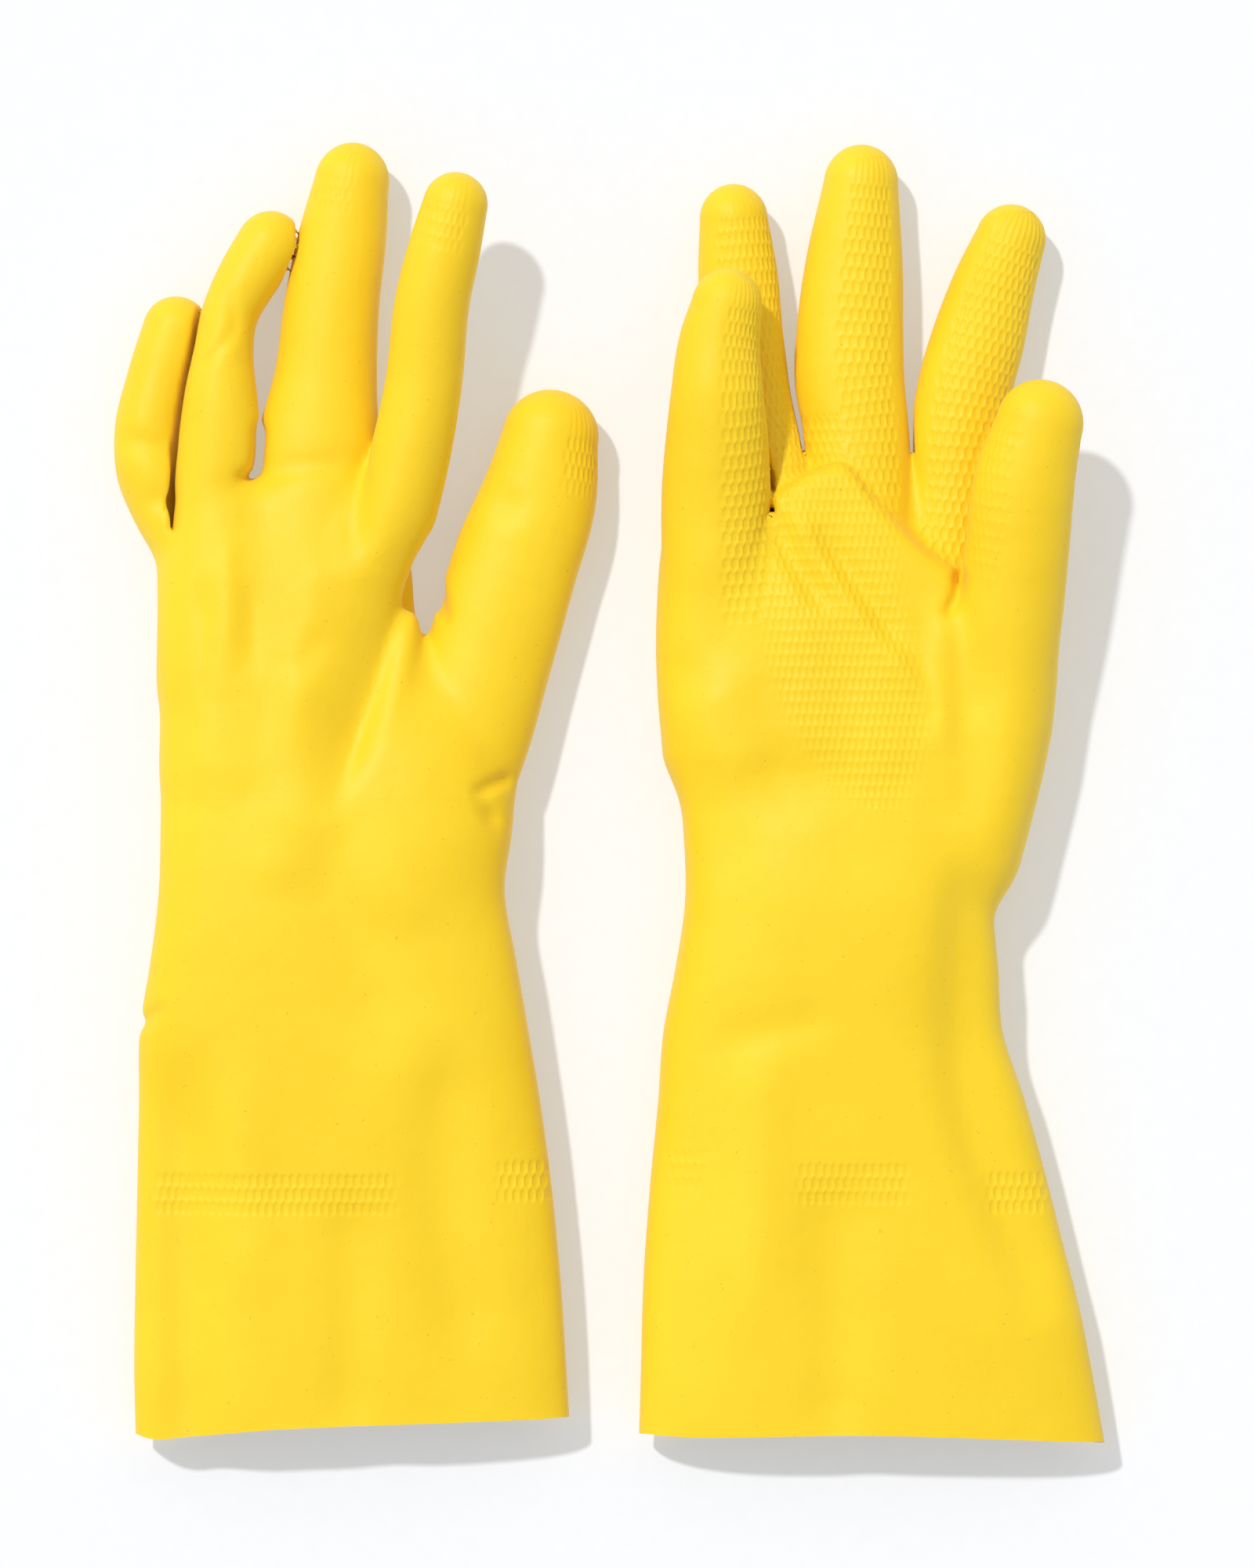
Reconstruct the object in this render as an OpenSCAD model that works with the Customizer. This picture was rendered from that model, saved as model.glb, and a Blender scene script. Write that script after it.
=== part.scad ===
// A pair of household rubber gloves, lying side by side on a flat surface.
// The left-hand glove lies on the left with its back up, and the right-hand glove on the right
// with its palm up. Each glove is one thin dipped latex shell with cotton flock inside. The shell
// is divided at the creases where it bends: the wrist, the finger roots and the middle knuckles.
// Origin: the middle of the pair, on the surface. +X to the right, +Y to the fingertips, +Z up.
// At every crease the outer piece begins in a rounded root that turns inside the open end of the
// inner piece, and that open end is mitred so that it never meets the turning piece.

/* [Glove] */
// Length of a glove from the cuff edge to the tip of the middle finger
glove_length = 310; // [300:1:330]
// Thickness of the dipped latex
wall = 0.8; // [0.7:0.1:0.9]
// Thickness of the cotton flock inside the cuff and the hand
flock = 0.4; // [0.3:0.1:0.5]
// Gap between a root and the open end that it turns in
play = 0.7; // [0.6:0.1:0.8]

/* [Flex, in degrees] */
// Most that the hand lifts at the wrist
wrist_lift = 30; // [10:1:30]
// Most that a finger lifts at its root
root_lift = 45; // [20:1:45]
// Most that a finger lifts at its middle knuckle
knuckle_lift = 45; // [20:1:45]
// Most that the raised left forefinger drops at its root
root_drop = 12; // [0:1:12]

/* [Smoothness] */
// Points round a finger
finger_points = 20; // [16:2:24]
// Points round a cuff or a hand
hand_points = 40; // [32:4:48]

/* [Hidden] */

latex_yellow = [1.0, 0.84, 0.2];
flock_yellow = [1.0, 0.93, 0.62];
fit = glove_length / 310;
flock_gap = 0.3;
rim_gap = 0.6;
// How far behind its mitred rim a stub begins to widen
neck = 1.4;
squareness = 2.9;
root_angles = [-42, -21, 0];
tip_angles = [24, 46, 64, 80];

// A digit holds the heel of its stub at the palm, its root hinge, its knuckle hinge and the centre of its
// rounded tip, then the half width and half thickness at each of the four, then its lift and drop
// at root and knuckle.
function digit(heel, root, knuckle, tip, widths, heights, lifts, drops) =
    [heel * fit, root * fit, knuckle * fit, tip * fit, widths * fit, heights * fit, lifts, drops];

usual_lifts = [root_lift, knuckle_lift];
no_drops = [0, 0];

left_thumb = digit([-26.6, 40.4, 12], [-22.5, 53.8, 11], [-17, 71.2, 10.4], [-12.8, 86.5, 9.8],
    [11, 12.4, 11.6, 10.2], [9.6, 9, 8.9, 8.8], usual_lifts, no_drops);
left_index = digit([-52.6, 39.4, 16.6], [-44.1, 97, 22.5], [-41.3, 117.5, 26], [-36.3, 139.4, 28.5],
    [8.6, 8.4, 8, 7.6], [8.8, 8.4, 8, 7.6], usual_lifts, [root_drop, 0]);
left_middle = digit([-72.2, 38.6, 13], [-67.8, 97, 11], [-65.8, 117.5, 10.8], [-61.7, 146.8, 10],
    [10, 11, 10.2, 9.1], [9.6, 8.8, 8.4, 8], usual_lifts, no_drops);
left_ring = digit([-90, 38.4, 14.4], [-91.8, 96, 14.6], [-90, 113.5, 13.4], [-82.4, 130.4, 11.5],
    [6.6, 7.2, 7, 6.8], [7.6, 7.4, 7.4, 7.2], usual_lifts, no_drops);
left_little = digit([-102.4, 42, 12], [-106.8, 66.5, 9.4], [-109.8, 86, 9.2], [-106.4, 110.6, 8.6],
    [5, 6.8, 6.8, 6.6], [7.4, 7.4, 7.4, 7.2], usual_lifts, no_drops);

right_little = digit([24.6, 46, 15], [26, 72.5, 22.5], [26.3, 93, 29.5], [28.8, 114.9, 30.5],
    [8.8, 9.2, 8.9, 8.6], [8.6, 8.2, 8, 8], usual_lifts, no_drops);
right_ring = digit([42.2, 45, 10.4], [37.5, 87, 9.6], [33.9, 108.5, 9.6], [30.5, 137.4, 9],
    [7.2, 8.2, 8.2, 8], [7.6, 7.8, 7.6, 7.4], usual_lifts, no_drops);
right_middle = digit([60, 44, 12], [59.5, 87.5, 10.8], [59.5, 109.5, 10.4], [60.7, 146, 10],
    [9.6, 10.4, 10.4, 9.3], [9, 8.8, 8.4, 8.2], usual_lifts, no_drops);
right_index = digit([78, 45, 11], [83.8, 85.5, 10.4], [89.3, 108.3, 10], [97.2, 132.4, 9.6],
    [7.4, 9.6, 9.6, 8.7], [8, 8.2, 8, 7.8], [30, knuckle_lift], no_drops);
right_thumb = digit([97, 43.6, 22.2], [98.3, 58.5, 26], [100.3, 74.5, 29.4], [102.1, 87.4, 30.5],
    [10.6, 10.6, 10.2, 9.9], [9.2, 8.8, 8.6, 8.6], usual_lifts, no_drops);

// A wrist holds its hinge, and the half width and half height of the hand's rounded root there.
left_wrist = [[-66.2, -24, 17] * fit, 38.4 * fit, 14.6 * fit];
right_wrist = [[56.2, -24, 17] * fit, 34.6 * fit, 14.8 * fit];

// A station across a cuff or a palm holds its y, its left and right edges and its top.
left_cuff_stations = [
    [-154.6, -113.4, -9, 21], [-140, -113.6, -9.6, 23], [-110, -113.2, -12, 25],
    [-80, -112.4, -15.4, 26], [-58, -111.8, -19, 28], [-44, -109.6, -22, 32]
] * fit;
right_cuff_stations = [
    [-155.4, 7.8, 118.4, 21], [-140, 8, 115.6, 23], [-110, 9.2, 109.6, 25],
    [-80, 11.2, 101.4, 26], [-58, 14, 96, 29], [-44, 17, 94.4, 32]
] * fit;
left_palm_stations = [
    [-8, -106.6, -24.6, 31], [4, -106.6, -22, 29], [20, -106.6, -15.5, 27.6],
    [36, -106.2, -11.6, 26.4]
] * fit;
right_palm_stations = [
    [-8, 18, 96.6, 31], [8, 15.6, 101, 30], [24, 14.4, 104.6, 29], [40, 13.6, 106.4, 28]
] * fit;

left_digits = [left_thumb, left_index, left_middle, left_ring, left_little];
right_digits = [right_thumb, right_index, right_middle, right_ring, right_little];

// Directions of a piece that points along d: sideways and level, and square to both
function unit(v) = v / norm(v);
function side_of(d) = unit(cross(d, [0, 0, 1]));
function up_of(d) = cross(side_of(d), d);
function turned(d, angle) = d * cos(angle) + up_of(d) * sin(angle);
function signed_power(x, p) = sign(x) * pow(abs(x), p);
function reversed(list) = [for (i = [len(list) - 1:-1:0]) list[i]];

// How far along d a rim point at offset v may reach before the piece that points along next,
// lifted or dropped to its limits, would touch it
function reach(v, d, next, lift, drop) =
    -max([for (angle = [lift, -drop]) let (t = turned(next, angle)) (v * t) / (d * t)]) - rim_gap;

// One elliptical ring round a finger
function ring(c, d, w, h) =
    [for (i = [0:finger_points - 1]) let (a = 360 * i / finger_points)
        c + side_of(d) * w * cos(a) + up_of(d) * h * sin(a)];

// The mitred rim in which the next piece turns
function rim(c, d, w, h, next, lift, drop) =
    [for (p = ring(c, d, w, h)) p + d * reach(p - c, d, next, lift, drop)];

// The rounded root that turns in the rim before it
function root_rings(c, d, w, h, skin) =
    [for (a = root_angles) ring(c + d * h * sin(a), d, w * cos(a) - skin, h * cos(a) - skin)];

// One ring round a cuff or a hand, flat below where it lies on the surface
function band(y, left, right, bottom, top, skin, floor_z = 0) =
    [for (i = [0:hand_points - 1])
        let (a = 360 * i / hand_points,
            x = (left + right) / 2 + ((right - left) / 2 - skin)
                * signed_power(cos(a), 2 / squareness),
            z = (bottom + top) / 2 + ((top - bottom) / 2 - skin)
                * signed_power(sin(a), 2 / squareness))
        [x, y, max(z, floor_z + skin)]];

// The lowest level of a band's full curve, which the flat face then cuts
sag = -2.2 * fit;
function station_band(s, skin) = band(s[0], s[1], s[2], sag, s[3], skin);

// A closed solid through a list of rings; a loop joins the last ring to the first
module skinned(rings, loop) {
    n = len(rings[0]);
    count = len(rings);
    points = [for (r = rings) each r];
    last = loop ? count - 1 : count - 2;
    walls = [for (k = [0:last], i = [0:n - 1])
        let (a = k * n, b = ((k + 1) % count) * n, j = (i + 1) % n)
        each [[a + i, b + i, b + j], [a + i, b + j, a + j]]];
    ends = loop ? [] : [[for (i = [0:n - 1]) i], [for (i = [n - 1:-1:0]) (count - 1) * n + i]];
    polyhedron(points = points, faces = concat(walls, ends), convexity = 6);
}

// From the root of a digit to its knuckle
module digit_base(dg) {
    d = unit(dg[2] - dg[1]);
    next = unit(dg[3] - dg[2]);
    w_end = dg[4][2] + play + wall;
    h_end = dg[5][2] + play + wall;
    middle = (dg[1] + dg[2]) / 2;
    function side(skin) = concat(
        root_rings(dg[1], d, dg[4][1], dg[5][1], skin),
        [ring(middle, d, (dg[4][1] + w_end) / 2 - skin, (dg[5][1] + h_end) / 2 - skin)],
        [rim(dg[2], d, w_end - skin, h_end - skin, next, dg[6][1], dg[7][1])]);
    skinned(concat(reversed(side(0)), side(wall)), true);
}

// From the knuckle of a digit to its closed tip
module digit_tip(dg) {
    d = unit(dg[3] - dg[2]);
    w = dg[4][3];
    h = dg[5][3];
    function side(skin) = concat(
        root_rings(dg[2], d, dg[4][2], dg[5][2], skin),
        [ring(dg[3], d, w - skin, h - skin)],
        [for (a = tip_angles)
            ring(dg[3] + d * (h - skin) * sin(a), d, (w - skin) * cos(a), (h - skin) * cos(a))]);
    skinned(concat(reversed(side(0)), side(wall)), false);
}

// The stub of the hand from its heel, at the open front of the palm, to the mitred rim in which a
// digit's root turns; it stays slim beside its neighbours and widens just before that rim
module stub(dg) {
    d = unit(dg[1] - dg[0]);
    next = unit(dg[2] - dg[1]);
    w_end = dg[4][1] + play + wall;
    h_end = dg[5][1] + play + wall;
    function side(skin) = [
        ring(dg[0], d, dg[4][0] - skin, dg[5][0] - skin),
        ring(dg[1] - d * (h_end + neck), d, dg[4][0] - skin, dg[5][0] - skin),
        rim(dg[1], d, w_end - skin, h_end - skin, next, dg[6][0], dg[7][0])];
    skinned(concat(reversed(side(0)), side(wall)), true);
}

// The open tube from the cuff edge to the wrist
module cuff(stations, wrist) {
    forward = [0, 1, 0];
    w_end = wrist[1] + play + wall;
    h_end = wrist[2] + play + wall;
    c = wrist[0];
    // The end round the wrist, mitred for the hand's lift
    function wrist_rim(skin) =
        [for (p = band(c.y, c.x - w_end, c.x + w_end, c.z - h_end, c.z + h_end, skin))
            p + forward * reach(p - c, forward, forward, wrist_lift, 0)];
    function side(skin) = concat([for (s = stations) station_band(s, skin)], [wrist_rim(skin)]);
    skinned(concat(reversed(side(0)), side(wall)), true);
}

// The palm as an open tube, from its rounded root at the wrist to its front
module palm(stations, wrist) {
    c = wrist[0];
    function root(a, skin) =
        band(c.y + wrist[2] * sin(a), c.x - wrist[1] * cos(a), c.x + wrist[1] * cos(a),
            c.z - wrist[2] * cos(a), c.z + wrist[2] * cos(a), skin);
    function side(skin) = concat(
        [for (a = root_angles) root(a, skin)],
        [for (s = stations) station_band(s, skin)]);
    skinned(concat(reversed(side(0)), side(wall)), true);
}

// The hand: its palm, and the five stubs in which its digits turn
module hand(stations, wrist, digits) {
    palm(stations, wrist);
    for (dg = digits) stub(dg);
}

// Cotton flock on the inside of the stations of a cuff or a hand
module lining(stations) {
    skin = wall + flock_gap;
    function side(skin) = [for (s = stations) station_band(s, skin)];
    skinned(concat(reversed(side(skin)), side(skin + flock)), true);
}

module left_cuff() { color(latex_yellow) cuff(left_cuff_stations, left_wrist); }
module left_cuff_lining() { color(flock_yellow) lining(left_cuff_stations); }
module left_hand() {
    color(latex_yellow) hand(left_palm_stations, left_wrist, left_digits);
}
module left_hand_lining() { color(flock_yellow) lining(left_palm_stations); }
module left_thumb_base() { color(latex_yellow) digit_base(left_thumb); }
module left_thumb_tip() { color(latex_yellow) digit_tip(left_thumb); }
module left_index_base() { color(latex_yellow) digit_base(left_index); }
module left_index_tip() { color(latex_yellow) digit_tip(left_index); }
module left_middle_base() { color(latex_yellow) digit_base(left_middle); }
module left_middle_tip() { color(latex_yellow) digit_tip(left_middle); }
module left_ring_base() { color(latex_yellow) digit_base(left_ring); }
module left_ring_tip() { color(latex_yellow) digit_tip(left_ring); }
module left_little_base() { color(latex_yellow) digit_base(left_little); }
module left_little_tip() { color(latex_yellow) digit_tip(left_little); }

module right_cuff() { color(latex_yellow) cuff(right_cuff_stations, right_wrist); }
module right_cuff_lining() { color(flock_yellow) lining(right_cuff_stations); }
module right_hand() {
    color(latex_yellow) hand(right_palm_stations, right_wrist, right_digits);
}
module right_hand_lining() { color(flock_yellow) lining(right_palm_stations); }
module right_thumb_base() { color(latex_yellow) digit_base(right_thumb); }
module right_thumb_tip() { color(latex_yellow) digit_tip(right_thumb); }
module right_index_base() { color(latex_yellow) digit_base(right_index); }
module right_index_tip() { color(latex_yellow) digit_tip(right_index); }
module right_middle_base() { color(latex_yellow) digit_base(right_middle); }
module right_middle_tip() { color(latex_yellow) digit_tip(right_middle); }
module right_ring_base() { color(latex_yellow) digit_base(right_ring); }
module right_ring_tip() { color(latex_yellow) digit_tip(right_ring); }
module right_little_base() { color(latex_yellow) digit_base(right_little); }
module right_little_tip() { color(latex_yellow) digit_tip(right_little); }

left_cuff();
left_cuff_lining();
left_hand();
left_hand_lining();
left_thumb_base();
left_thumb_tip();
left_index_base();
left_index_tip();
left_middle_base();
left_middle_tip();
left_ring_base();
left_ring_tip();
left_little_base();
left_little_tip();
right_cuff();
right_cuff_lining();
right_hand();
right_hand_lining();
right_thumb_base();
right_thumb_tip();
right_index_base();
right_index_tip();
right_middle_base();
right_middle_tip();
right_ring_base();
right_ring_tip();
right_little_base();
right_little_tip();
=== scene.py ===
import math

import bpy
import numpy as np
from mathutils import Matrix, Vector


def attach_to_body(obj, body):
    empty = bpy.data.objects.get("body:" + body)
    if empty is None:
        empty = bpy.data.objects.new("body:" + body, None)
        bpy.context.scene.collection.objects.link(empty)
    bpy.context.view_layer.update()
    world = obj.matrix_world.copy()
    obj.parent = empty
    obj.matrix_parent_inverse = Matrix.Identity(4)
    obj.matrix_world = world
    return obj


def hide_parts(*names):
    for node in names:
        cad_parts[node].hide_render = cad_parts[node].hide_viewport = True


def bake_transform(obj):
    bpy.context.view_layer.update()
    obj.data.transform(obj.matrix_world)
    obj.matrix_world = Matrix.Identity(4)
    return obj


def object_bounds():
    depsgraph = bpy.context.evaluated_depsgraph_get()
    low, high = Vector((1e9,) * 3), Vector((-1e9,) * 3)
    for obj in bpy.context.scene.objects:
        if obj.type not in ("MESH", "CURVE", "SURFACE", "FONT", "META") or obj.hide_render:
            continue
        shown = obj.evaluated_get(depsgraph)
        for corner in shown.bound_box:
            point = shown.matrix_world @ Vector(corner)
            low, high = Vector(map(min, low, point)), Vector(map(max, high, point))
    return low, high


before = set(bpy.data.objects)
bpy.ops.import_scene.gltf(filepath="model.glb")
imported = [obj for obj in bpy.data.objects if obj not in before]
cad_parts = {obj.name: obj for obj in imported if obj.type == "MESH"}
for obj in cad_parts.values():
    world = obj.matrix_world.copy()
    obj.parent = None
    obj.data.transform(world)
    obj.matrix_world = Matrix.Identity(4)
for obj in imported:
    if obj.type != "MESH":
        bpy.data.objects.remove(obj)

# A pair of household rubber gloves lying side by side on a pale surface. Each glove is one smooth
# surface, described by a signed distance field: a flattened sleeve for the cuff and the palm, a
# tapered tube for each digit, and soft strokes for the creases, folds and dents of the slack latex.
# The field is meshed once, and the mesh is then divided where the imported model's bodies meet.
# Shapes are worked out in millimetres and become metres when an object is made.
MM = 0.001
SIDES = ("left", "right")
DIGITS = ("thumb", "index", "middle", "ring", "little")
cad_low, cad_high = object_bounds()


# ---------------------------------------------------------------- design

CELL = 1.0              # edge of the meshing grid
REFINE = 3              # each quad of a textured zone becomes REFINE x REFINE
LATEX_WALL = 0.6
FLOCK_GAP = 0.12
FLOCK_WALL = 0.35
FLOOR_ROUND = 2.0       # how softly the latex meets the surface that it rests on
CLEARANCE = 1.3         # space left between two digits that lie against each other
FREE_SOFTNESS = 0.8     # softness of the join between digits beyond their crotch
HEEL_SOFTNESS = 9.0     # and deep inside the palm
SOFTNESS_LENGTH = 38.0  # over how many millimetres the one becomes the other
PRESS_FADE = 3.0        # over how many millimetres a digit starts to press on its neighbour
PRESS_SOFTNESS = 0.8    # softness of the dent that it leaves
LOWER_LAYER = 0.9       # how much further the cuff's lower layer reaches than its upper one
LINING_SET_BACK = 1.6   # how far inside the cuff's edge its flock begins
FAR = 1000.0            # a distance that no point of a glove has
LINE_STEP = 1.5         # spacing of the points of the smooth lines
CHUNK = 40000           # most points that one array operation takes at a time

# Sleeve stations: y, left edge, right edge, top.
SLEEVES = {
    "left": [
        (-160.0, -113.4, -8.6, 21.0), (-140.0, -113.8, -9.8, 23.5), (-118.0, -113.5, -11.2, 25.0),
        (-95.0, -113.0, -13.4, 26.0), (-74.0, -112.6, -16.2, 27.5), (-56.0, -112.1, -19.2, 29.0),
        (-42.0, -109.8, -21.6, 30.0), (-24.0, -107.6, -24.8, 30.5), (-8.0, -107.2, -25.0, 30.0),
        (6.0, -107.0, -30.0, 29.0), (20.0, -106.4, -39.0, 27.5), (36.0, -106.0, -45.0, 26.0),
        (54.0, -105.4, -48.0, 24.0), (84.0, -104.6, -50.0, 20.0)],
    "right": [
        (-162.0, 7.4, 120.6, 21.0), (-140.0, 8.0, 116.6, 23.5), (-118.0, 8.6, 112.2, 25.0),
        (-95.0, 10.2, 106.2, 26.0), (-74.0, 12.2, 100.3, 27.5), (-58.0, 13.4, 95.4, 29.0),
        (-43.0, 16.2, 94.5, 31.0), (-26.0, 18.6, 94.0, 32.5), (-10.0, 18.2, 97.6, 31.5),
        (8.0, 16.4, 101.8, 30.0), (24.0, 14.6, 105.0, 29.0), (40.0, 13.3, 106.4, 28.0),
        (58.0, 13.0, 106.0, 27.0), (84.0, 13.0, 106.0, 25.0)],
}
SLEEVE_POWER = 2.7      # how square the sleeve is in section
SLEEVE_SAG = -2.2       # lowest level of the section, which the floor then flattens

# The front edge of the palm as seen from above: x, y.
PALM_FRONTS = {
    "left": [(-112, 55), (-104, 60), (-92, 70), (-78, 78), (-60, 80), (-50, 72), (-44, 44), (-30, 8),
             (-18, -4)],
    "right": [(6, 56), (22, 62), (38, 70), (50, 77), (57, 78), (65, 68), (84, 51.5), (96, 46),
              (116, 40)],
}
PALM_FRONT_ROUND = {"left": 9.0, "right": 4.5}

# A digit's tube: rows of x, y, z, half width, half thickness. "free" is the y beyond which the
# digit is a finger of its own, and "end" is the length of its rounded tip. "bends" are the y at
# which its root starts and stops bending, and then its knuckle.
TUBES = {
    "left_thumb": dict(free=50.0, end=11.4, bends=(52, 63, 66, 78), rows=[
        (-50, -22, 15, 16, 12), (-42, -2, 14, 17.5, 11.5), (-34.5, 15, 12, 16.4, 11),
        (-29, 31, 11, 15.4, 10.8), (-22.5, 53.8, 10.8, 15.2, 10.4),
        (-16.4, 71.2, 10.4, 13.9, 10.2), (-13.7, 85.2, 9.8, 11.6, 9.8)]),
    "left_index": dict(free=89.0, end=7.7, bends=(91, 103, 110, 122), rows=[
        (-75, -16, 16, 9, 12), (-70.5, 2, 16, 9.5, 12), (-66, 18, 16.4, 10, 11.6),
        (-61, 34, 17, 10.6, 11), (-56.4, 50, 18, 10.8, 10.6), (-51.2, 66, 19.2, 10.2, 10.2),
        (-47, 81, 20.8, 9.6, 9.8), (-43.9, 97, 22.5, 9.2, 9.4),
        (-41.5, 117.5, 26, 8.9, 8.9), (-38.4, 130.5, 27.4, 8.5, 8.5),
        (-36.1, 139.5, 28.4, 7.7, 7.8)]),
    "left_middle": dict(free=89.0, end=9.6, bends=(91, 105, 112, 126), rows=[
        (-74, 8, 14, 11, 11), (-72.5, 44, 13.5, 13, 11), (-70.5, 72, 12.4, 14.4, 9.8),
        (-68.9, 89, 11.6, 14.0, 9.2), (-68, 97, 11, 12.7, 9.2),
        (-66.2, 117.5, 10.8, 11.4, 9.0), (-63.6, 134, 10.3, 10.5, 8.9),
        (-61.5, 146.4, 10, 9.0, 8.6)]),
    "left_ring": dict(free=88.0, end=8.4, bends=(90, 101, 106, 117), rows=[
        (-92, 8, 14, 10, 11), (-93, 44, 14, 11, 10.6), (-93.6, 70, 14.2, 10.4, 9.6),
        (-92.9, 86, 14.6, 9.8, 9.2), (-92.7, 96, 14.6, 8.6, 8.8),
        (-92.0, 106, 14.2, 7.1, 8.4), (-90.9, 113.5, 13.4, 6.8, 8.2),
        (-86.2, 123.6, 12.6, 7.4, 8.2), (-81.4, 131.2, 11.6, 7.8, 8)]),
    "left_little": dict(free=61.0, end=8.0, bends=(63, 75, 80, 92), rows=[
        (-95, 30, 13, 9.4, 10), (-97.4, 48, 12, 9.4, 9.6), (-101.6, 60.5, 10.4, 8.6, 9.2),
        (-105.9, 67.9, 9.4, 8.5, 9.0), (-109.4, 77.5, 9.4, 8.9, 9.0),
        (-110.2, 86, 9.2, 8.5, 8.8), (-107.6, 99, 9.0, 8.1, 8.4),
        (-103.9, 111.1, 8.6, 8.0, 8.0)]),
    "right_little": dict(free=65.6, end=8.8, bends=(67, 80, 88, 100), rows=[
        (28, 10, 15, 13, 13), (27, 34, 15.5, 13.4, 13.2), (26.2, 54, 18.5, 13.2, 12.6),
        (26, 72.5, 22.5, 13.0, 11.4), (26.1, 84, 26.6, 12.2, 10.2),
        (26.1, 93, 29.7, 11.2, 9.2), (26.7, 107, 30.2, 9.6, 8.4),
        (28.4, 115.4, 30.4, 8.4, 8.2)]),
    "right_ring": dict(free=80.0, end=8.5, bends=(82, 94, 102, 114), rows=[
        (47, 12, 15, 11, 12), (45, 40, 14, 11.6, 12), (41.6, 66, 12, 11, 10.4),
        (36.2, 87, 9.6, 10.0, 9.4), (33.9, 99.5, 9.6, 9.7, 8.8),
        (32.8, 108.5, 9.6, 9.6, 8.6), (31.4, 124, 9.4, 9.6, 8.4),
        (30.4, 137.6, 9.2, 8.2, 8.0)]),
    "right_middle": dict(free=80.0, end=9.5, bends=(82, 96, 104, 118), rows=[
        (64, 12, 15, 12, 12), (62, 40, 14, 13, 12), (60.6, 66, 12.4, 13, 10.8),
        (59.7, 87.5, 10.8, 12.7, 9.8), (58.2, 99.5, 10.6, 13.2, 9.4),
        (58.3, 109.5, 10.4, 12.9, 9.2), (59.4, 127, 10.2, 11.7, 9.0),
        (61.0, 146, 10, 9.0, 8.6)]),
    "right_index": dict(free=81.0, end=8.6, bends=(83, 96, 104, 117), rows=[
        (80, 12, 13, 12, 10), (80, 34, 11, 12.4, 9.4), (82, 58, 10.6, 11.6, 8.8),
        (83.8, 74, 10.4, 11.2, 8.6), (84.4, 85.5, 10.4, 11.5, 8.6),
        (86.6, 99.5, 10.2, 11.4, 8.6), (89.1, 108.3, 10, 11.2, 8.5),
        (93.1, 122, 9.8, 9.9, 8.2), (97.0, 132.6, 9.6, 8.5, 8.0)]),
    "right_thumb": dict(free=51.5, end=10.6, bends=(53.5, 66, 70, 81), rows=[
        (88, -14, 15, 10, 12), (92, 8, 16, 11.6, 12), (94.6, 28, 19.5, 12.4, 11.6),
        (96.4, 46, 23.4, 12.7, 11), (97.7, 58.5, 26.4, 12.4, 10.2),
        (99.3, 74.5, 29.4, 12.0, 9.6), (102.7, 87.2, 30.4, 10.4, 9.2)]),
}

# Where one digit presses into what lies against it: what gives way, the digit, from which y.
PRESSES = {
    "left": [("little", "ring", 62.0), ("ring", "middle", 88.0), ("middle", "index", 90.0)],
    "right": [("ring", "middle", 81.0), ("index", "middle", 81.0), ("ring", "little", 66.0),
              ("palm", "little", 66.0), ("index", "thumb", 52.0), ("palm", "thumb", 52.0)],
}
UNION_ORDER = ("middle", "ring", "index", "thumb", "little")

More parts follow.
